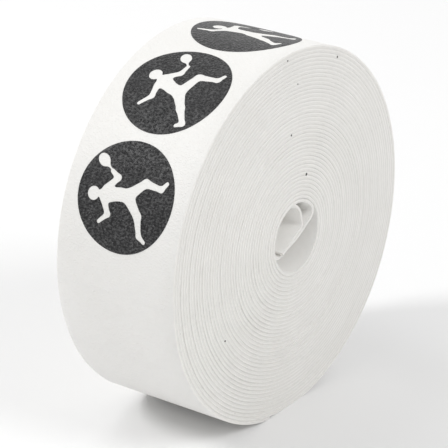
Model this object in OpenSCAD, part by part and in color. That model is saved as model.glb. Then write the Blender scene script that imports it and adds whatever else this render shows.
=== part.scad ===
// A coreless roll of racket grip tape: one soft strip wound into a spiral, printed with round discs.
// The roll stands on its tread and its axis runs along Y. The end face that shows the tape's
// inner end points to -Y. The origin is under the middle of the roll, on the surface it stands on.
// Angles in the roll's plane are counted from +X towards +Z.

/* [Tape] */
// Width of the tape, and so of the roll
tape_w = 25; // [20:0.5:30]
// Thickness of the tape as it is wound
tape_t = 0.6; // [0.5:0.01:0.62]

/* [Roll] */
// Radius to the middle of the outermost turn
outer_r = 34.2; // [33.9:0.1:36]
// Radius to the middle of the innermost turn
eye_r = 6.9; // [6.8:0.1:7.2]
// How far the middle of the turns moves in one turn, because the eye is off centre
drift = 0.048; // [0:0.002:0.05]
// Direction in which it moves, where the turns lie furthest apart
lean = 156; // [150:1:165]
// How far the turn that the roll stands on is pressed flat
flat_depth = 0.2; // [0.05:0.05:0.3]

/* [Free end] */
// Angle at which the free end begins to lift off
lift_from = 172; // [171:1:180]
// Angle at which the tape ends
tape_end = 259.5; // [250:0.5:262]
// Number of lengths that the free end bends in
free_lengths = 4; // [2:1:4]

/* [Prints] */
// Diameter of a printed disc
disc_d = 19.5; // [10:0.5:20]
// Angle at the middle of the first disc
first_disc = 154; // [152:1:154]
// Angle from one disc to the next
disc_step = 35.4; // [34:0.2:36]
// Thickness of the ink
ink_t = 0.04; // [0.02:0.01:0.05]

/* [Hidden] */
$fn = 96;
tape_colour = [0.94, 0.94, 0.93];
ink_colour = [0.2, 0.2, 0.21];

// The spiral is made of half rings, numbered from 0 at the eye, each half a turn long.
last_ring = 78;
// The last half ring in each group of turns that can slip sideways together
group_ends = [12, 27, 42, 54, 66, last_ring];
pitch = 2 * (outer_r - eye_r) / last_ring;
// How much the radius grows from a lower half ring to the upper one outside it
wide_step = (pitch + drift) / 2;
// Room at each place where the strip is cut into lengths that move
cut = 0.05;

// Inner end: the strip follows the eye's wall, then crosses the eye and doubles back on itself.
// Each entry is [bend radius, bend angle], or [0, length] for a straight run, all turning inwards.
wall_arc = 115;
follow_r = ring_r(-1) - 0.79;
loop_route = [
    [1.6, 101], [0, 9.1], [1.5, 101.5], [follow_r, 102], [2.2, 87], [0, 1.85], [1, 69.5], [0, 6.3]
];
// Angle between the corners that a bend is drawn with
bend_step = 8;

// Printed figures, in disc radii: each limb is [x, y, radius] at one end and at the other,
// and a racket is [x, y, radius] of its head.
smash = [
    [[-0.03, 0.36, 0.15], [0.03, -0.02, 0.12]],
    [[-0.03, -0.04, 0.11], [-0.26, -0.4, 0.075]],
    [[-0.26, -0.4, 0.075], [-0.53, -0.72, 0.05]],
    [[0.07, -0.04, 0.11], [0.22, -0.38, 0.075]],
    [[0.22, -0.38, 0.075], [0.42, -0.7, 0.05]],
    [[0.06, 0.4, 0.075], [0.3, 0.16, 0.05]],
    [[0.3, 0.16, 0.05], [0.44, 0.42, 0.025]],
    [[-0.1, 0.36, 0.07], [-0.36, 0.16, 0.045]]
];
lunge = [
    [[0.12, 0.3, 0.16], [-0.04, -0.04, 0.12]],
    [[-0.08, -0.06, 0.11], [-0.4, -0.34, 0.075]],
    [[-0.4, -0.34, 0.075], [-0.42, -0.74, 0.05]],
    [[0.02, -0.06, 0.11], [0.34, -0.34, 0.075]],
    [[0.34, -0.34, 0.075], [0.46, -0.72, 0.05]],
    [[0.14, 0.3, 0.07], [0.42, 0.04, 0.045]],
    [[0.42, 0.04, 0.045], [0.6, 0.16, 0.025]]
];
reach = [
    [[-0.1, 0.3, 0.15], [0, -0.06, 0.12]],
    [[-0.04, -0.08, 0.11], [-0.2, -0.44, 0.075]],
    [[-0.2, -0.44, 0.075], [-0.42, -0.74, 0.05]],
    [[0.05, -0.08, 0.11], [0.22, -0.4, 0.075]],
    [[0.22, -0.4, 0.075], [0.2, -0.78, 0.05]],
    [[-0.02, 0.34, 0.075], [0.28, 0.4, 0.05]],
    [[0.28, 0.4, 0.05], [0.5, 0.3, 0.025]],
    [[-0.18, 0.3, 0.07], [-0.46, 0.12, 0.045]]
];
heads = [[-0.05, 0.66, 0.13], [0.2, 0.58, 0.13], [-0.16, 0.6, 0.13]];
rackets = [[0.5, 0.58, 0.14], [0.74, 0.26, 0.13], [0.64, 0.22, 0.14]];
figures = [smash, lunge, reach];
// Radius that fills the figures' inside corners
soft_corner = 0.25;

// Where each half ring lies. The spiral's own X runs along lean, and every half ring's middle is on it.
function turns_left(k) = ceil((last_ring - k) / 2);
function lower(k) = (last_ring - k) % 2;
function ring_r(k) = outer_r - pitch * turns_left(k) + lower(k) * wide_step;
function ring_x(k) = lower(k) * wide_step - drift * turns_left(k);
function ring_start(k) = -180 * lower(k);
function cut_angle(k) = cut / ring_r(k) * 180 / PI;

// The free end's cuts, from the lift-off to the tape's end, in the spiral's frame
function free_cut(i) = lift_from - lean + i * (tape_end - lift_from) / free_lengths;

// Places along the inner end, in the spiral's frame: each is [x, z, heading]
function along(p, size) = [p.x + size * cos(p.z), p.y + size * sin(p.z), p.z];
function round_bend(p, r, a) =
    let (h = p.z - a)
    [p.x + r * (sin(p.z) - sin(h)), p.y - r * (cos(p.z) - cos(h)), h];
function step(p, s) = s[0] == 0 ? along(p, s[1]) : round_bend(p, s[0], s[1]);
function place(route, n) = n == 0 ? loop_start : step(place(route, n - 1), route[n - 1]);
loop_start = [
    ring_x(-1) + ring_r(-1) * cos(wall_arc),
    -ring_r(-1) * sin(wall_arc),
    -90 - wall_arc
];

// The frame: the box's middle is over the origin, and the flattened tread is at Z = 0.
right_edge = ring_x(last_ring - 1) * cos(lean) + ring_r(last_ring - 1) + tape_t / 2 + ink_t;
left_edge = -outer_r - tape_t / 2;
lowest = ring_x(last_ring - 2) * sin(lean) - ring_r(last_ring - 2) - tape_t / 2;
roll_x = -(right_edge + left_edge) / 2;
roll_z = -(lowest + flat_depth);

module in_frame() {
    translate([roll_x, 0, roll_z]) children();
}

module in_spiral() {
    in_frame() rotate([0, -lean, 0]) children();
}

// A curved length of strip whose middle lies at x
module arc_strip(x, r, from, to, thick = tape_t) {
    translate([x, 0, 0])
        rotate([90, 0, 0])
            rotate([0, 0, from])
                rotate_extrude(angle = to - from)
                    translate([r - thick / 2, -tape_w / 2])
                        square([thick, tape_w]);
}

// One half ring of the spiral, stopping short of its end where the strip is cut
module half_ring(k, stop = 180) {
    arc_strip(ring_x(k), ring_r(k), ring_start(k), ring_start(k) + stop);
}

// Half rings first to last, with room left after the last one
module turns(first, last) {
    for (k = [first:last])
        half_ring(k, k == last ? 180 - cut_angle(k) : 180);
}

// Takes away what the surface under the roll presses flat
module pressed_flat() {
    difference() {
        children();
        translate([-outer_r, -tape_w, -tape_w])
            cube([2 * outer_r, 2 * tape_w, tape_w]);
    }
}

module coil(group) {
    color(tape_colour)
        in_spiral()
            turns(group_ends[group - 1] + 1, group_ends[group]);
}

// The innermost turns, with the stretch of strip that still follows the eye's wall
module coil_1_core() {
    color(tape_colour)
        in_spiral() {
            arc_strip(ring_x(-1), ring_r(-1), -wall_arc, 0);
            turns(0, group_ends[0]);
        }
}

// The outer turns end where the free end begins to lift
module coil_6_outer() {
    color(tape_colour)
        pressed_flat()
            in_spiral() {
                for (k = [group_ends[4] + 1:last_ring - 1])
                    half_ring(k);
                arc_strip(0, outer_r, 0, free_cut(0) - cut_angle(last_ring));
            }
}

// The corners of one side of the inner end's outline, at a distance to the left of its middle
function bend_corners(p, s, side) =
    let (steps = ceil(s[1] / bend_step))
    [for (i = [1:steps])
        let (q = round_bend(p, s[0], s[1] * i / steps))
        [q.x - side * sin(q.z), q.y + side * cos(q.z)]];
function side_corners(side) = [
    for (n = [0:len(loop_route) - 1])
        let (p = place(loop_route, n), s = loop_route[n], q = step(p, s))
        each s[0] > 0 ? bend_corners(p, s, side)
            : [[q.x - side * sin(q.z), q.y + side * cos(q.z)]]
];
function end_corner(p, side) = [p.x - side * sin(p.z), p.y + side * cos(p.z)];
function reversed(list) = [for (i = [len(list) - 1:-1:0]) list[i]];

module inner_end() {
    color(tape_colour)
        in_spiral()
            rotate([90, 0, 0])
                linear_extrude(height = tape_w, center = true)
                    polygon(concat(
                        [end_corner(along(loop_start, cut), -tape_t / 2)],
                        [end_corner(along(loop_start, cut), tape_t / 2)],
                        side_corners(tape_t / 2),
                        reversed(side_corners(-tape_t / 2))
                    ));
}

module free_end(i) {
    to = free_cut(i + 1) - (i < free_lengths - 1 ? cut_angle(last_ring) : 0);
    color(tape_colour)
        pressed_flat()
            in_spiral()
                arc_strip(0, outer_r, free_cut(i), to);
}

// The stretches of outermost turn that carry a disc: [half ring, first angle, last angle].
// The first disc lies across two half rings. The others lie on one, which is drawn on past
// its own end for the last disc.
function inked(i) = i == 0
    ? [[last_ring, 0, free_cut(0)], [last_ring - 1, -180, 0]]
    : [[last_ring - 1, -200, 0]];

// The ink's skin over one of them
module ink_skin(s) {
    rotate([0, -lean, 0])
        arc_strip(ring_x(s[0]), ring_r(s[0]) + (tape_t + ink_t) / 2, s[1], s[2], ink_t);
}

// Turns a flat drawing in XY into a solid that stands out from the tread at an angle
module on_tread(angle) {
    rotate([0, 90 - angle, 0])
        translate([0, 0, outer_r - disc_d / 4])
            linear_extrude(height = disc_d / 2)
                children();
}

// A tapered limb with round ends, drawn between two circles
module limb(a, b) {
    p = [a.x, a.y];
    q = [b.x, b.y];
    way = atan2(q.y - p.y, q.x - p.x);
    side = acos((a.z - b.z) / norm(q - p));
    polygon([
        for (turn = [side:15:360 - side]) p + a.z * [cos(way + turn), sin(way + turn)],
        for (turn = [-side:15:side]) q + b.z * [cos(way + turn), sin(way + turn)]
    ]);
}

// A player with a racket, with soft inside corners
module figure(pose, size) {
    offset(r = -soft_corner)
        offset(r = soft_corner)
            scale(size) {
                for (ends = figures[pose])
                    limb(ends[0], ends[1]);
                for (c = [heads[pose], rackets[pose]])
                    translate([c.x, c.y]) circle(r = c.z);
            }
}

module disc_drawing(pose) {
    difference() {
        circle(d = disc_d);
        figure(pose, disc_d / 2, $fn = 24);
    }
}

module print_disc(i) {
    angle = first_disc - i * disc_step;
    color(ink_colour)
        in_frame()
            for (s = inked(i))
                intersection() {
                    ink_skin(s);
                    on_tread(angle) disc_drawing(i % len(figures));
                }
}

coil_1_core();
coil(1);  // coil_2
coil(2);  // coil_3
coil(3);  // coil_4
coil(4);  // coil_5
coil_6_outer();
inner_end();
free_end(0);  // free_end_1
free_end(1);  // free_end_2
free_end(2);  // free_end_3
free_end(3);  // free_end_4
print_disc(0);  // print_1
print_disc(1);  // print_2
print_disc(2);  // print_3
print_disc(3);  // print_4
print_disc(4);  // print_5
print_disc(5);  // print_6
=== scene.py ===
"""Looks of the grip tape roll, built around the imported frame.

One long strip of white grip tape is wound into a coreless roll that stands on its tread.
The roll's axis runs along Y and the end face with the tape's inner end points to -Y.
Lengths are in metres unless a name says millimetres. Angles in the roll's plane are in
degrees, counted from +X towards +Z. A place on the strip is told by u, the number of half
turns from the eye of the roll.
"""
import math
import bpy
import numpy as np
from mathutils import Matrix, Vector


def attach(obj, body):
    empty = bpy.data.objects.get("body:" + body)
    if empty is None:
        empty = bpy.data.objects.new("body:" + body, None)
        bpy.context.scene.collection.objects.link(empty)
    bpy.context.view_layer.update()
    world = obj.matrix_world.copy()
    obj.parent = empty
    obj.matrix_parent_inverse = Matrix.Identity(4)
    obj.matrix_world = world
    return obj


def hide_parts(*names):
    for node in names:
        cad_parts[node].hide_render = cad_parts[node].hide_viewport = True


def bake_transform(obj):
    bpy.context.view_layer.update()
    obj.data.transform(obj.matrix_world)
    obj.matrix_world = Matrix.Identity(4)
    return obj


MM = 0.001

# The strip and how it is wound, as the CAD source has it
TAPE_WIDTH = 25 * MM
SPIRAL_OUTER = 34.2 * MM
SPIRAL_INNER = 6.9 * MM
DRIFT = 0.048 * MM
LEAN = 156
FLAT_DEPTH = 0.2 * MM
LAST_RING = 78
GROUP_ENDS = [12, 27, 42, 54, 66]
PITCH = 2 * (SPIRAL_OUTER - SPIRAL_INNER) / LAST_RING
WIDE_STEP = (PITCH + DRIFT) / 2

# The free end: where it lifts off, where the tape ends and in how many lengths it bends
LIFT_FROM = 172
TAPE_END = 259.5
LENGTHS = 4
# Degrees of the first length that lie on the roll ahead of its hinge
BEFORE_LIFT = 12

# The inner end follows the eye's wall, crosses the eye and doubles back on itself.
# Each entry of the route is [bend radius in mm, bend angle], or [0, length in mm].
WALL_ARC = 115
FOLLOW_RADIUS = 5.784
LOOP_ROUTE = [
    [1.6, 101], [0, 9.1], [1.5, 101.5], [FOLLOW_RADIUS, 102], [2.2, 87], [0, 1.85], [1, 69.5], [0, 6.3]
]

# From the strip's middle to its grip side
GRIP_SIDE = 0.3 * MM
# From the strip's middle to its felt side in the eye, where nothing presses on the felt
FELT_SIDE = 0.34 * MM
# Further out the felt fills the space down to the next turn, apart from this
FELT_GAP = 0.015 * MM
# A cut edge's corners are this many times as deep through the strip as they are across it
CROWN = 1.5
# Points on each rounded corner of the strip's section
CORNER_POINTS = 4
# Points across the strip's grip side: on the tread, in the eye, and between the turns
ACROSS_TREAD = 9
ACROSS_EYE = 3
ACROSS_HIDDEN = 2
# Degrees between the places that the strip is drawn at, on the roll and on the eye's wall
STEP = 2.0
WALL_STEP = 4.0
# The same for the inner end: degrees on a bend, millimetres on a straight run
BEND_STEP = 5
RUN_STEP = 0.7
# Half turns over which the strip passes from one group of turns to the next
PASSAGE = 0.35
# Edges sharper than this many degrees stay sharp in smooth shading
SHARP_ANGLE = 60

# The printed discs, the first one's angle and the next ones' spacing in degrees
DISC_RADIUS = 9.75 * MM
FIRST_DISC = 154
DISC_STEP = 35.4
PRINTS = 6
INK = 0.04 * MM
# Size of the cells that an ink outline is cut from
INK_CELL = 0.2 * MM
# Outlines keep this far from the cells' own points, so that no cell collapses
LEAST_FIELD = 1e-6

# The camera, at the photograph's viewing angle
VIEW_AZIMUTH = -54.05
VIEW_ELEVATION = 23.69
VIEW_DISTANCE = 437.9 * MM
VIEW_CENTRE = Vector((0, 0, 33.89 * MM))
VIEW_AIM = (-1.57 * MM, -0.98 * MM)
VIEW_LENS = 197.2
VIEW_SENSOR = 36
VIEW_NEAREST = 10 * MM

# Soft round lights, all aimed at one point: name, place and diameter in metres, power in watts
LIGHT_TARGET = (0, 0, 0.03)
LIGHTS = [
    ("overhead", (0.0, 0.45, 0.9), 0.5, 1.2),
    ("back_key", (-0.45, 0.55, 0.7), 0.25, 3.5),
    ("back_panel", (0.9, 0.6, 0.42), 0.9, 1.8),
    ("front_fill", (0.05, -0.95, 0.9), 0.6, 5.2),
]
AMBIENT = 0.54
# Half the side of the square floor
FLOOR_REACH = 3


# ---------------------------------------------------------------- the winding

def turns_left(ring):
    """Whole turns between this half turn and the outermost one."""
    return math.ceil((LAST_RING - ring) / 2)


def lower(ring):
    """1 on the half turns of the spiral's lower side, 0 on the others."""
    return (LAST_RING - ring) % 2


def ring_radius(ring):
    """Radius of a half turn, to the strip's middle."""
    return SPIRAL_OUTER - PITCH * turns_left(ring) + lower(ring) * WIDE_STEP


def ring_middle(ring):
    """How far a half turn's centre lies from the roll's axis, along the way that the spiral leans."""
    return lower(ring) * WIDE_STEP - DRIFT * turns_left(ring)


def leaned(x, z):
    """A vector of the spiral's own frame, turned into the roll's plane."""
    c, s = math.cos(math.radians(LEAN)), math.sin(math.radians(LEAN))
    return x * c - z * s, x * s + z * c


def roll_axis():
    """(x, z) of the middle of the outermost half turn, which sets the roll on the floor."""
    right = leaned(ring_middle(LAST_RING - 1), 0)[0] + ring_radius(LAST_RING - 1) + GRIP_SIDE + INK
    left = -SPIRAL_OUTER - GRIP_SIDE
    lowest = leaned(ring_middle(LAST_RING - 2), 0)[1] - ring_radius(LAST_RING - 2) - GRIP_SIDE
    return -(right + left) / 2, -(lowest + FLAT_DEPTH)


ROLL_X, ROLL_Z = roll_axis()


def on_winding(u):
    """The place at u on the strip's middle: [x, z, outward x, outward z, u]."""
    ring = min(math.floor(u), LAST_RING)
    angle = math.radians(180 * (u - ring) - 180 * lower(ring))
    radius = ring_radius(ring)
    x, z = leaned(ring_middle(ring) + radius * math.cos(angle), radius * math.sin(angle))
    out_x, out_z = leaned(math.cos(angle), math.sin(angle))
    return [ROLL_X + x, ROLL_Z + z, out_x, out_z, u]


def outermost(angle):
    """The u of the outermost turn at an angle of the roll's plane."""
    return LAST_RING + (angle - LEAN) / 180


def winding(first, last, step=STEP):
    """Places along the spiral from one u to another."""
    count = max(2, math.ceil((last - first) * 180 / step))
    return [on_winding(first + (last - first) * i / count) for i in range(count + 1)]


def inner_loop():
    """Places along the inner end, from the tape's very tip out to the wall of the eye."""
    start = -WALL_ARC / 180
    angle = math.radians(-WALL_ARC)
    radius = ring_radius(-1)
    spot = [ring_middle(-1) + radius * math.cos(angle), radius * math.sin(angle), angle - math.pi / 2, 0.0]
    spots = [spot]
    for bend, amount in LOOP_ROUTE:
        total = math.radians(amount) * bend * MM if bend else amount * MM
        count = math.ceil(amount / (BEND_STEP if bend else RUN_STEP))
        for i in range(count):
            x, z, heading, gone = spots[-1]
            part = total / count
            turn = math.radians(amount) / count if bend else 0.0
            chord = 2 * bend * MM * math.sin(turn / 2) if bend else part
            x += chord * math.cos(heading - turn / 2)
            z += chord * math.sin(heading - turn / 2)
            spots.append([x, z, heading - turn, gone + part])
    places = []
    for x, z, heading, gone in reversed(spots):
        px, pz = leaned(x, z)
        out_x, out_z = leaned(-math.sin(heading), math.cos(heading))
        places.append([ROLL_X + px, ROLL_Z + pz, out_x, out_z, start - gone / (math.pi * radius)])
    return places


# ---------------------------------------------------------------- the strip

# The strip's irregularities are worked out in millimetres below. Each is a size times a smooth
# noise, which has its own seed and a spacing in half turns.
NOISE_VALUES = 512


def smooth_noise(x, seed, spacing):
    """A smooth curve through seeded values from -1 to 1 that lie spacing apart."""
    values = np.random.default_rng(seed).uniform(-1, 1, NOISE_VALUES)
    t = np.asarray(x, float) / spacing + NOISE_VALUES / 4
    i = np.floor(t).astype(int)
    f = t - i
    f = f * f * (3 - 2 * f)
    return values[i % NOISE_VALUES] * (1 - f) + values[(i + 1) % NOISE_VALUES] * f


def plateau(x, first, last, ramp):
    """1 between first and last, falling softly to 0 over a ramp on either side."""
    x = np.asarray(x, float)
    t = np.clip(np.minimum(x - first, last - x) / ramp + 1, 0, 1)
    return t * t * (3 - 2 * t)


def towards(u, angle):
    """1 where the strip lies at this angle of the roll's plane, falling softly to 0 opposite it."""
    return 0.5 + 0.5 * np.cos(np.radians(LEAN + 180 * np.asarray(u, float) - angle))


def felt_side(u):
    """From the strip's middle to its felt side."""
    filled = PITCH + DRIFT * np.cos(math.pi * np.asarray(u, float)) - GRIP_SIDE - FELT_GAP
    return FELT_SIDE + (filled - FELT_SIDE) * plateau(u, 3, LAST_RING + 2, 1.5)


def sideways(u):
    """How far towards -Y the strip has wandered where it was wound, below 0 towards +Y."""
    wander = 0.04 * smooth_noise(u, 11, 1.7) + 0.02 * smooth_noise(u, 12, 0.45)
    wander += 0.025 * towards(u, 190) ** 2 * smooth_noise(u, 14, 0.04)
    ripples = 0.09 * towards(u, 262) ** 4 * smooth_noise(u, 13, 5.3)
    proud_turns = 0.05 * plateau(u, 40.4, 42.6, 0.8)
    sunk_turns = -0.06 * plateau(u, 44.2, 46.2, 0.8)
    sunk_loop = -0.7 * plateau(u, -1.8, -1.25, 0.3)
    return (wander + ripples + proud_turns + sunk_turns + sunk_loop) * MM


def edge_radius(u):
    """Width of the cut edges' corners, largest where the turns lie loosest and round the eye."""
    loose = (0.15 + 0.04 * smooth_noise(u, 22, 0.05)) * towards(u, 190) ** 2
    loose += 0.07 * towards(u, 60) ** 6 * plateau(u, 0, 34, 12)
    rim = 0.08 * plateau(u, -3, 0.8, 0.5)
    return (0.015 + np.maximum(loose, rim) + 0.005 * smooth_noise(u, 21, 0.4)) * MM


def edge_slant(u):
    """How far the felt corner of a cut edge stands behind its grip corner."""
    bands = (0.022 + 0.05 * towards(u, 270) ** 4) * smooth_noise(u, 33, 5.3)
    return (0.015 * smooth_noise(u, 31, 0.9) + 0.01 * smooth_noise(u, 32, 0.23) + bands) * MM


SIDES = ["grip", "felt", "cut"]


def section(u, across):
    """The strip's section at each u: points as [outward, y], and the side that each one starts."""
    radius = edge_radius(u)
    slant = edge_slant(u)
    felt_out = -felt_side(u)
    front = -TAPE_WIDTH / 2 - sideways(u)
    back = TAPE_WIDTH / 2 - sideways(u)
    quarter = np.radians(np.linspace(0, 90, CORNER_POINTS))
    points, sides = [], []

    def add(out, y, side):
        points.append(np.stack([out, y], axis=-1))
        sides.append(side)

    def corner(end, inward, felt, angles):
        for a in angles:
            drop = CROWN * radius * (1 - math.cos(a))
            out = felt_out + drop if felt else GRIP_SIDE - drop
            add(out, end + inward * (radius * (1 - math.sin(a)) + (slant if felt else 0)), "cut")

    for share in np.linspace(0, 1, across):
        add(GRIP_SIDE + 0 * u, front + radius + (back - front - 2 * radius) * share, "grip")
    sides[-1] = "cut"
    corner(back, -1, False, quarter[1:])
    corner(back, -1, True, quarter[::-1])
    sides[-1] = "felt"
    corner(front, 1, True, quarter)
    corner(front, 1, False, quarter[:0:-1])
    return np.stack(points, axis=1), sides


def strip_metres(u):
    """Distance along the strip's middle from the eye to each u, below 0 on the inner end."""
    radii = np.array([ring_radius(ring) for ring in range(LAST_RING + 1)])
    starts = np.concatenate([[0], np.cumsum(math.pi * radii)])
    u = np.asarray(u, float)
    ring = np.clip(np.floor(u).astype(int), 0, LAST_RING)
    inner = math.pi * ring_radius(-1) * u
    return np.where(u < 0, inner, starts[ring] + math.pi * radii[ring] * (u - ring))


def map_strip(mesh, corners, along, across):
    """A UV map in millimetres: along the strip, and across it or round its cut edge."""
    layer = mesh.uv_layers.new(name="strip")
    uv = np.stack([along[corners], across], axis=-1) / MM
    layer.data.foreach_set("uv", uv.astype(np.float32).ravel())


def shade_smooth(mesh):
    mesh.polygons.foreach_set("use_smooth", [True] * len(mesh.polygons))
    mesh.set_sharp_from_angle(angle=math.radians(SHARP_ANGLE))


def new_piece(name, mesh):
    piece = bpy.data.objects.new(name, mesh)
    bpy.context.collection.objects.link(piece)
    return piece


def sweep(name, places, across):
    """The strip along these places, as a closed mesh with its grip, felt and cut sides told apart."""
    p = np.array(places)
    points, sides = section(p[:, 4], across)
    count, around = points.shape[:2]
    co = np.empty((count, around, 3))
    co[..., 0] = p[:, None, 0] + p[:, None, 2] * points[..., 0]
    co[..., 1] = points[..., 1]
    # The floor presses the tread flat
    co[..., 2] = np.maximum(p[:, None, 1] + p[:, None, 3] * points[..., 0], 0)

    i, j = np.meshgrid(np.arange(count - 1), np.arange(around), indexing="ij")
    k = (j + 1) % around
    quads = np.stack([i * around + j, i * around + k, (i + 1) * around + k, (i + 1) * around + j], axis=-1)
    quads = quads.reshape(-1, 4)
    first_cap = list(reversed(range(around)))
    last_cap = [(count - 1) * around + n for n in range(around)]
    mesh = bpy.data.meshes.new(name)
    mesh.from_pydata(co.reshape(-1, 3).tolist(), [], quads.tolist() + [first_cap, last_cap])

    for side in SIDES:
        mesh.materials.append(LOOKS[side])
    cut = SIDES.index("cut")
    index = [SIDES.index(side) for side in sides] * (count - 1) + [cut] * 2
    mesh.polygons.foreach_set("material_index", index)
    shade_smooth(mesh)

    corners = np.concatenate([quads.ravel(), first_cap, last_cap])
    along = strip_metres(p[:, 4]).repeat(around)
    y = co[..., 1].ravel()
    edge = np.sign(y) * (TAPE_WIDTH / 2 + GRIP_SIDE - points[..., 0].ravel())
    on_edge = np.repeat(np.array(index) == cut, [4] * len(quads) + [around] * 2)
    map_strip(mesh, corners, along, np.where(on_edge, edge[corners], y[corners]))
    mesh.update()
    return new_piece(name, mesh)


def strip_piece(name, places, across=ACROSS_HIDDEN):
    """A stretch of the strip, swept along these places."""
    piece = sweep(name, places, across)
    return piece


# ---------------------------------------------------------------- the printed discs

# Each player is drawn in disc radii, upright, as tapered limbs: [x, y, radius] at each joint.
# A racket is [grip, throat, middle of the head].
PLAYERS = [
    {
        "head": (-0.09, 0.66, 0.125),
        "racket": [(0.35, 0.36), (0.44, 0.5), (0.52, 0.64)],
        "limbs": [
            [(-0.07, 0.56, 0.06), (-0.05, 0.42, 0.075)],
            [(-0.05, 0.38, 0.15), (0.01, 0.12, 0.11), (0.02, -0.06, 0.13)],
            [(0.05, 0.42, 0.075), (0.28, 0.24, 0.055), (0.37, 0.4, 0.042)],
            [(-0.14, 0.42, 0.07), (-0.38, 0.28, 0.05), (-0.54, 0.44, 0.036)],
            [(0.07, -0.1, 0.11), (0.31, -0.34, 0.075), (0.28, -0.68, 0.048), (0.4, -0.76, 0.04)],
            [(-0.03, -0.1, 0.11), (-0.28, -0.34, 0.075), (-0.6, -0.44, 0.048), (-0.68, -0.56, 0.038)],
        ],
    },
    {
        "head": (0.17, 0.56, 0.125),
        "racket": [(0.5, 0.08), (0.61, 0.17), (0.73, 0.28)],
        "limbs": [
            [(0.14, 0.46, 0.06), (0.09, 0.36, 0.075)],
            [(0.06, 0.3, 0.15), (-0.04, 0.06, 0.11), (-0.08, -0.1, 0.13)],
            [(0.16, 0.34, 0.075), (0.33, 0.12, 0.055), (0.53, 0.1, 0.042)],
            [(-0.04, 0.38, 0.07), (-0.3, 0.34, 0.05), (-0.5, 0.5, 0.036)],
            [(-0.02, -0.14, 0.11), (0.34, -0.26, 0.078), (0.38, -0.64, 0.05), (0.51, -0.7, 0.04)],
            [(-0.12, -0.14, 0.11), (-0.4, -0.34, 0.075), (-0.68, -0.54, 0.048), (-0.74, -0.43, 0.038)],
        ],
    },
    {
        "head": (-0.02, 0.58, 0.125),
        "racket": [(0.47, 0.26), (0.56, 0.14), (0.65, 0.0)],
        "limbs": [
            [(-0.01, 0.48, 0.06), (0.0, 0.36, 0.075)],
            [(0.0, 0.3, 0.15), (0.03, 0.04, 0.11), (0.02, -0.12, 0.13)],
            [(0.11, 0.37, 0.075), (0.36, 0.45, 0.055), (0.45, 0.27, 0.042)],
            [(-0.1, 0.38, 0.07), (-0.3, 0.54, 0.05), (-0.36, 0.8, 0.036)],
            [(0.07, -0.14, 0.11), (0.25, -0.42, 0.078), (0.36, -0.74, 0.05), (0.48, -0.73, 0.04)],
            [(-0.03, -0.14, 0.11), (-0.12, -0.46, 0.078), (-0.26, -0.76, 0.05), (-0.15, -0.82, 0.04)],
        ],
    },
]
# In disc radii: how softly limbs run into each other, and a racket's half axes and shaft
LIMB_BLEND = 0.05
RACKET_HEAD = (0.105, 0.145)
RACKET_SHAFT = 0.018


def limb_distance(x, y, a, b):
    """Distance to a tapered limb between two joints, below 0 inside it."""
    ax, ay, ar = a
    bx, by, br = b
    dx, dy = bx - ax, by - ay
    t = np.clip(((x - ax) * dx + (y - ay) * dy) / (dx * dx + dy * dy), 0, 1)
    return np.hypot(x - ax - t * dx, y - ay - t * dy) - (ar + t * (br - ar))


def softly_joined(a, b):
    """Distance to the union of two shapes, with its inside corners filled."""
    h = np.clip(0.5 + 0.5 * (b - a) / LIMB_BLEND, 0, 1)
    return b * (1 - h) + a * h - LIMB_BLEND * h * (1 - h)


def racket_distance(x, y, racket):
    """Distance to a racket with an oval head."""
    grip, throat, middle = [np.array(p) for p in racket]
    way = (middle - throat) / np.linalg.norm(middle - throat)
    along = (x - middle[0]) * way[0] + (y - middle[1]) * way[1]
    beside = (x - middle[0]) * way[1] - (y - middle[1]) * way[0]
    head = (np.hypot(beside / RACKET_HEAD[0], along / RACKET_HEAD[1]) - 1) * min(RACKET_HEAD)
    shaft = limb_distance(x, y, (*grip, RACKET_SHAFT), (*throat, RACKET_SHAFT))
    return softly_joined(head, shaft)


def player_distance(x, y, player):
    """Distance to a player with a racket, below 0 inside them."""
    body = None
    for limb in player["limbs"]:
        for a, b in zip(limb, limb[1:]):
            part = limb_distance(x, y, a, b)
            body = part if body is None else softly_joined(body, part)
    hx, hy, hr = player["head"]
    body = np.minimum(body, np.hypot(x - hx, y - hy) - hr)
    return np.minimum(body, racket_distance(x, y, player["racket"]))


def inked_cells(field, xs, ys):
    """Points and faces that cover where the field is below 0, cut cleanly along its outline."""
    ids, points, faces = {}, [], []

    def vertex(key, x, y):
        if key not in ids:
            ids[key] = len(points)
            points.append((x, y))
        return ids[key]

    def crossing(a, b):
        low, high = min(a, b), max(a, b)
        t = field[low] / (field[low] - field[high])
        x = xs[low[0]] + t * (xs[high[0]] - xs[low[0]])
        y = ys[low[1]] + t * (ys[high[1]] - ys[low[1]])
        return vertex((low, high), x, y)

    inside = field < 0
    some = inside[:-1, :-1] | inside[1:, :-1] | inside[1:, 1:] | inside[:-1, 1:]
    for i, j in np.argwhere(some).tolist():
        ring = [(i, j), (i + 1, j), (i + 1, j + 1), (i, j + 1)]
        face = []
        for a, b in zip(ring, ring[1:] + ring[:1]):
            if inside[a]:
                face.append(vertex(a, xs[a[0]], ys[a[1]]))
            if inside[a] != inside[b]:
                face.append(crossing(a, b))
        faces.append(face)
    return np.array(points), faces


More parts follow.
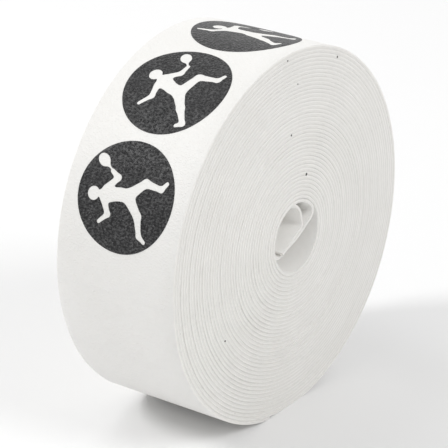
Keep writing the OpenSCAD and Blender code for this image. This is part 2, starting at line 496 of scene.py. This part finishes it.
def print_disc(number):
    """One disc of ink round the tread, with a bare player left in it."""
    grid = np.arange(-DISC_RADIUS - INK_CELL, DISC_RADIUS + 2 * INK_CELL, INK_CELL)
    x, y = np.meshgrid(grid / DISC_RADIUS, grid / DISC_RADIUS, indexing="ij")
    player = player_distance(x, y, PLAYERS[number % len(PLAYERS)])
    field = np.maximum(np.hypot(x, y) - 1, -player)
    field[np.abs(field) < LEAST_FIELD] = LEAST_FIELD
    flat, faces = inked_cells(field, grid, grid)

    angle = FIRST_DISC - number * DISC_STEP
    u = outermost(angle) - flat[:, 0] / (math.pi * (SPIRAL_OUTER + GRIP_SIDE))
    p = np.array([on_winding(v) for v in u])
    layers = []
    top, sunk_underside = GRIP_SIDE + INK, GRIP_SIDE - INK / 2
    for out in (top, sunk_underside):
        layers.append(np.stack([p[:, 0] + p[:, 2] * out, flat[:, 1], p[:, 1] + p[:, 3] * out], axis=-1))
    count = len(flat)
    edges = dict.fromkeys((a, b) for face in faces for a, b in zip(face, face[1:] + face[:1]))
    rim = [[b, a, a + count, b + count] for a, b in edges if (b, a) not in edges]
    under = [[v + count for v in reversed(face)] for face in faces]
    mesh = bpy.data.meshes.new(f"print_{number + 1}_ink")
    mesh.from_pydata(np.concatenate(layers).tolist(), [], faces + under + rim)
    shade_smooth(mesh)
    corners = np.empty(len(mesh.loops), int)
    mesh.loops.foreach_get("vertex_index", corners)
    along = np.tile(strip_metres(p[:, 4]), 2)
    map_strip(mesh, corners, along, np.tile(flat[:, 1], 2)[corners])
    mesh.materials.append(LOOKS["ink"])
    piece = new_piece(f"print_{number + 1}_ink", mesh)
    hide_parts(f"print_{number + 1}")
    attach(piece, "outer_turns")


# ---------------------------------------------------------------- materials

# Colours are pairs, from the darkest to the lightest that a material shows
COATING = [(0.82, 0.811, 0.788), (0.84, 0.832, 0.812)]
# The ink's lighter colour is a painted highlight on its pebble tops and streaks.
INK_BLACK = [(0.003, 0.003, 0.004), (0.056, 0.056, 0.057)]
FELT = [(0.9, 0.89, 0.865), (0.94, 0.93, 0.905)]
CUT_COATING = [(0.83, 0.817, 0.788), (0.87, 0.857, 0.83)]
CUT_FELT = [(0.72, 0.708, 0.68), (0.83, 0.817, 0.788)]
FLOOR_COLOUR = (0.9, 0.9, 0.9, 1)
# How far red, green and blue light sink into the tape, against each other
LIGHT_SPREAD = (1.0, 0.97, 0.93)
# Sizes in millimetres, along the strip and across it, of the grain's pebbles, of the streaks and
# patches of the ink's painted highlights, of the felt's fibres and clumps, and of the cut edge's fibres
# and fringe
PEBBLES = (0.34, 0.46)
HIGHLIGHT_STREAKS = (0.36, 0.6)
HIGHLIGHT_PATCHES = (2.6, 2.2)
FELT_FIBRES = (0.5, 0.09)
FELT_CLUMPS = (1.6, 1.1)
CUT_FIBRES = (1.3, 0.07)
CUT_FRINGE = (0.8, 0.5)


class Look:
    """A Principled material and short ways to add nodes to it."""

    def __init__(self, name, **settings):
        self.material = bpy.data.materials.new(name)
        self.material.use_nodes = True
        self.tree = self.material.node_tree
        self.shader = self.tree.nodes["Principled BSDF"]
        self.set(self.shader, {key.replace("_", " "): value for key, value in settings.items()})

    def set(self, node, values):
        for socket, value in values.items():
            if isinstance(value, bpy.types.NodeSocket):
                self.tree.links.new(value, node.inputs[socket])
            else:
                node.inputs[socket].default_value = value

    def add(self, kind, values=None, **settings):
        node = self.tree.nodes.new("ShaderNode" + kind)
        for key, value in settings.items():
            setattr(node, key, value)
        self.set(node, values or {})
        return node

    def math(self, operation, *values):
        return self.add("Math", dict(enumerate(values)), operation=operation).outputs[0]

    def glow(self, weight, depth):
        """Light that sinks into the material and comes out up to this many metres away."""
        self.set(self.shader, {
            "Subsurface Weight": weight,
            "Subsurface Radius": LIGHT_SPREAD,
            "Subsurface Scale": depth,
        })

    def stretched(self, x, y):
        """The strip's map, scaled so that a feature of x by y millimetres is one unit."""
        strip = self.add("UVMap", uv_map="strip").outputs["UV"]
        return self.add("Mapping", {"Vector": strip, "Scale": (1 / x, 1 / y, 1)}).outputs["Vector"]

    def noise(self, vector, detail=2.0, scale=1.0, roughness=0.5):
        values = {"Vector": vector, "Scale": scale, "Detail": detail, "Roughness": roughness}
        return self.add("TexNoise", values).outputs["Fac"]

    def ramp(self, factor, low, high, start=0.0, end=1.0):
        """A colour that goes evenly from low to high as factor goes from start to end."""
        node = self.add("ValToRGB", {"Fac": factor})
        node.color_ramp.elements[0].position = start
        node.color_ramp.elements[1].position = end
        node.color_ramp.elements[0].color = (*low, 1)
        node.color_ramp.elements[1].color = (*high, 1)
        return node.outputs["Color"]

    def grey(self, factor, low, high, start=0.0, end=1.0):
        """A value that goes softly from low to high as factor goes from start to end."""
        values = {"Value": factor, "From Min": start, "From Max": end, "To Min": low, "To Max": high}
        return self.add("MapRange", values, interpolation_type="SMOOTHSTEP").outputs["Result"]

    def mix(self, factor, first, second):
        """A colour between two others. The node keeps its colours in inputs 6 and 7 and output 2."""
        node = self.add("Mix", {"Factor": factor}, data_type="RGBA")
        self.set(node, {6: first, 7: second})
        return node.outputs[2]

    def bump(self, height, depth):
        """A bump of this depth in metres."""
        return self.add("Bump", {"Height": height, "Distance": depth}).outputs["Normal"]

    def object_noise(self, size):
        """Noise in space, with features of about this size in metres."""
        space = self.add("TexCoord").outputs["Object"]
        return self.noise(space, scale=1 / size)


# Specks on the end face: [x, z] in parts of the outer radius, and size in millimetres
FLECKS = [
    [-0.05, 0.97, 0.26], [0.4, 0.86, 0.3], [0.04, 0.82, 0.22], [-0.01, 0.56, 0.28], [0.13, 0.3, 0.36],
    [-0.58, -0.37, 0.26], [-0.49, -0.82, 0.22], [-0.95, -0.18, 0.2],
]
FLECK_COLOUR = (0.05, 0.048, 0.046, 1)
# How ragged the specks are: the size of the steps in their outlines, and the outlines' depth
FLECK_GRAIN = 0.12 * MM
FLECK_RAGGED = 0.16 * MM


def leather_grain(look):
    """Height of the grain that the tape's coating is embossed with, and height of its pebbles alone."""
    flat = look.stretched(1, 1)
    # The pebbles' rows wander, so that they form no lattice
    drift = look.add("TexNoise", {"Vector": flat, "Scale": 1.3, "Detail": 1.0}).outputs["Color"]
    shift = look.add("VectorMath", {0: drift, 1: (0.5, 0.5, 0.5)}, operation="SUBTRACT").outputs[0]
    small = look.add("VectorMath", {0: shift, "Scale": 0.5}, operation="SCALE").outputs[0]
    bent = look.add("VectorMath", {0: flat, 1: small}, operation="ADD").outputs[0]
    scale = (1 / PEBBLES[0], 1 / PEBBLES[1], 1)
    cells = look.add("Mapping", {"Vector": bent, "Scale": scale}).outputs["Vector"]
    values = {"Vector": cells, "Scale": 1.0, "Smoothness": 0.15}
    middles = look.add("TexVoronoi", values, feature="SMOOTH_F1").outputs["Distance"]
    pebbles = look.grey(middles, 1, 0, 0.05, 0.65)
    rise = look.noise(flat, detail=1.0, scale=2.1)
    return look.math("ADD", pebbles, look.math("MULTIPLY", rise, 0.5)), pebbles


def grip_look():
    """The printed side: soft white coating with a satin leather grain."""
    look = Look("grip_coating", Roughness=0.5, Specular_IOR_Level=0.42)
    tint = look.object_noise(14 * MM)
    grain, _ = leather_grain(look)
    look.set(look.shader, {
        "Base Color": look.ramp(tint, *COATING, 0.3, 0.7),
        "Roughness": look.grey(grain, 0.58, 0.46, 0.3, 1.3),
        "Normal": look.bump(grain, 0.045 * MM),
    })
    look.glow(0.12, 0.5 * MM)
    return look.material


def ink_look():
    """Charcoal ink that takes on the grain under it, with painted highlights in streaks and on its pebble
    tops, stronger in some patches than others.
    """
    look = Look("ink", Specular_IOR_Level=0.4)
    grain, pebbles = leather_grain(look)
    # Painted highlights: the ink's base colour is lighter in streaks and on the pebble tops, more so in
    # some patches.
    highlight_streaks = look.grey(look.noise(look.stretched(*HIGHLIGHT_STREAKS), detail=1.0), 0, 1, 0.44, 0.6)
    highlight_spots = look.math("ADD", highlight_streaks, look.math("MULTIPLY", pebbles, 0.5))
    highlight_patchiness = look.grey(look.noise(look.stretched(*HIGHLIGHT_PATCHES)), 0.6, 1, 0.35, 0.65)
    painted_highlights = look.math("MULTIPLY", highlight_spots, highlight_patchiness)
    look.set(look.shader, {
        "Base Color": look.ramp(painted_highlights, *INK_BLACK, 0.1, 1.0),
        "Roughness": look.grey(grain, 0.46, 0.34, 0.4, 1.2),
        "Normal": look.bump(grain, 0.13 * MM),
    })
    return look.material


def felt_look():
    """The underside: a thin matted felt."""
    look = Look("felt_backing", Roughness=0.85, Specular_IOR_Level=0.3)
    fibres = look.noise(look.stretched(*FELT_FIBRES), detail=4.0, roughness=0.65)
    clumps = look.noise(look.stretched(*FELT_CLUMPS))
    both = look.math("ADD", look.math("MULTIPLY", fibres, 0.6), look.math("MULTIPLY", clumps, 0.4))
    look.set(look.shader, {
        "Base Color": look.ramp(both, *FELT, 0.35, 0.65),
        "Normal": look.bump(both, 0.03 * MM),
    })
    look.glow(0.15, 0.6 * MM)
    return look.material


def flecks(look):
    """1 on the specks of dirt that stick to the end face, 0 beside them."""
    space = look.add("TexCoord").outputs["Object"]
    ragged = look.math("MULTIPLY", look.noise(space, scale=1 / FLECK_GRAIN), FLECK_RAGGED)
    # Distance to the nearest speck in sizes of that speck, where its outline lies at 1
    nearest = 2.0
    for x, z, size in FLECKS:
        spot = (ROLL_X + x * SPIRAL_OUTER, -TAPE_WIDTH / 2, ROLL_Z + z * SPIRAL_OUTER)
        away = look.add("VectorMath", {0: space, 1: spot}, operation="DISTANCE").outputs["Value"]
        in_sizes = look.math("DIVIDE", look.math("ADD", away, ragged), size * MM)
        nearest = look.math("MINIMUM", nearest, in_sizes)
    return look.grey(nearest, 1, 0, 0.85, 1.15)


def cut_look():
    """The cut edge: the coating as a white line, the felt under it a little darker and fibrous."""
    look = Look("cut_edge", Roughness=0.75, Specular_IOR_Level=0.35)
    strip = look.add("UVMap", uv_map="strip").outputs["UV"]
    across = look.math("ABSOLUTE", look.add("SeparateXYZ", {"Vector": strip}).outputs["Y"])
    depth = look.math("SUBTRACT", across, TAPE_WIDTH / 2 / MM)
    fringe = look.noise(look.stretched(*CUT_FRINGE), detail=3.0)
    ragged_depth = look.math("ADD", depth, look.math("MULTIPLY", fringe, 0.16))
    fibres = look.noise(look.stretched(*CUT_FIBRES), detail=4.0, roughness=0.6)
    coating = look.ramp(look.object_noise(5 * MM), *CUT_COATING, 0.35, 0.65)
    felt = look.ramp(fibres, *CUT_FELT, 0.3, 0.7)
    layers = look.mix(look.grey(ragged_depth, 0, 1, 0.28, 0.42), coating, felt)
    look.set(look.shader, {
        "Base Color": look.mix(flecks(look), layers, FLECK_COLOUR),
        "Normal": look.bump(fibres, 0.04 * MM),
    })
    look.glow(0.2, 0.5 * MM)
    return look.material


def floor_look():
    """Plain matt white."""
    look = Look("floor", Roughness=0.9, Specular_IOR_Level=0.1)
    look.set(look.shader, {"Base Color": FLOOR_COLOUR})
    return look.material


LOOKS = {
    "grip": grip_look(), "felt": felt_look(), "cut": cut_look(), "ink": ink_look(),
    "floor": floor_look(),
}


# ---------------------------------------------------------------- the studio

def camera():
    """The camera looks at VIEW_CENTRE from VIEW_AZIMUTH and VIEW_ELEVATION, and is shifted by VIEW_AIM."""
    az, el = math.radians(VIEW_AZIMUTH), math.radians(VIEW_ELEVATION)
    right = Vector((math.cos(az), math.sin(az), 0))
    up = Vector((-math.sin(az) * math.sin(el), math.cos(az) * math.sin(el), math.cos(el)))
    back = right.cross(up)
    data = bpy.data.cameras.new("camera")
    data.lens = VIEW_LENS
    data.sensor_width = VIEW_SENSOR
    data.clip_start = VIEW_NEAREST
    seat = bpy.data.objects.new("camera", data)
    bpy.context.collection.objects.link(seat)
    seat.matrix_world = Matrix((right, up, back)).transposed().to_4x4()
    seat.location = VIEW_CENTRE + VIEW_AIM[0] * right + VIEW_AIM[1] * up + VIEW_DISTANCE * back
    bpy.context.scene.camera = seat


def soft_light(name, place, size, power):
    data = bpy.data.lights.new(name, "AREA")
    data.shape = "DISK"
    data.size = size
    data.energy = power
    lamp = bpy.data.objects.new(name, data)
    bpy.context.collection.objects.link(lamp)
    lamp.location = place
    lamp.rotation_euler = (Vector(LIGHT_TARGET) - Vector(place)).to_track_quat("-Z", "Y").to_euler()


def studio():
    """Even light from all round, the soft lights and a plain floor."""
    world = bpy.data.worlds.new("studio")
    world.use_nodes = True
    ambient = world.node_tree.nodes["Background"]
    ambient.inputs["Color"].default_value = (1, 1, 1, 1)
    ambient.inputs["Strength"].default_value = AMBIENT
    bpy.context.scene.world = world
    bpy.context.scene.view_settings.view_transform = "Standard"
    for light in LIGHTS:
        soft_light(*light)
    floor = bpy.data.meshes.new("floor")
    signs = [(-1, -1), (1, -1), (1, 1), (-1, 1)]
    floor.from_pydata([(x * FLOOR_REACH, y * FLOOR_REACH, 0) for x, y in signs], [], [(0, 1, 2, 3)])
    floor.materials.append(LOOKS["floor"])
    new_piece("floor", floor)


# ---------------------------------------------------------------- the roll

BODIES = ["core_turns", "turns_2", "turns_3", "turns_4", "turns_5", "outer_turns"]
COILS = ["coil_1_core", "coil_2", "coil_3", "coil_4", "coil_5", "coil_6_outer"]


def wound_turns():
    """Each group of turns rides on its body, and a short stretch of strip joins it to the next."""
    starts = [0] + [ring + 1 for ring in GROUP_ENDS]
    for n, (body, coil) in enumerate(zip(BODIES, COILS)):
        last_group = n == len(BODIES) - 1
        end = outermost(LIFT_FROM - BEFORE_LIFT) if last_group else starts[n + 1] - PASSAGE
        across = ACROSS_TREAD if last_group else ACROSS_HIDDEN
        turns = strip_piece(f"turns_{n + 1}", winding(starts[n], end), across)
        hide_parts(coil)
        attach(turns, body)
        if not last_group:
            passage = strip_piece(f"passage_{n + 1}", winding(end, starts[n + 1]))
            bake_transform(passage)


def inner_end():
    """The tape's inner end, which leaves the eye's wall and doubles back across the eye."""
    wall_end = -WALL_ARC / 180
    wall = strip_piece("inner_wall", winding(wall_end, 0, WALL_STEP), ACROSS_EYE)
    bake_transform(wall)
    loop = strip_piece("inner_loop", inner_loop(), ACROSS_EYE)
    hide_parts("inner_end")
    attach(loop, "inner_end")


def free_end():
    """The free end in one piece per hinge, each running across its own hinge as it lies on the roll."""
    hinges = [LIFT_FROM + n * (TAPE_END - LIFT_FROM) / LENGTHS for n in range(LENGTHS)]
    half = (TAPE_END - LIFT_FROM) / LENGTHS / 2
    for n, hinge in enumerate(hinges):
        first = hinge - BEFORE_LIFT if n == 0 else hinge - half
        last = TAPE_END if n == LENGTHS - 1 else hinge + half
        places = winding(outermost(first), outermost(last))
        piece = strip_piece(f"free_end_{n + 1}_strip", places, ACROSS_TREAD)
        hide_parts(f"free_end_{n + 1}")
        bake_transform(piece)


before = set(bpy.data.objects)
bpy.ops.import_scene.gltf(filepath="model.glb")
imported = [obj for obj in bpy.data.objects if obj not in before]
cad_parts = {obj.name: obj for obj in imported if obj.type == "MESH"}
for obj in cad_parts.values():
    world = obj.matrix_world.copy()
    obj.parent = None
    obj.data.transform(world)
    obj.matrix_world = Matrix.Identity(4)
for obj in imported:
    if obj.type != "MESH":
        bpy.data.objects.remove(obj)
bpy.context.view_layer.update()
camera()
studio()
wound_turns()
inner_end()
free_end()
for number in range(PRINTS):
    print_disc(number)
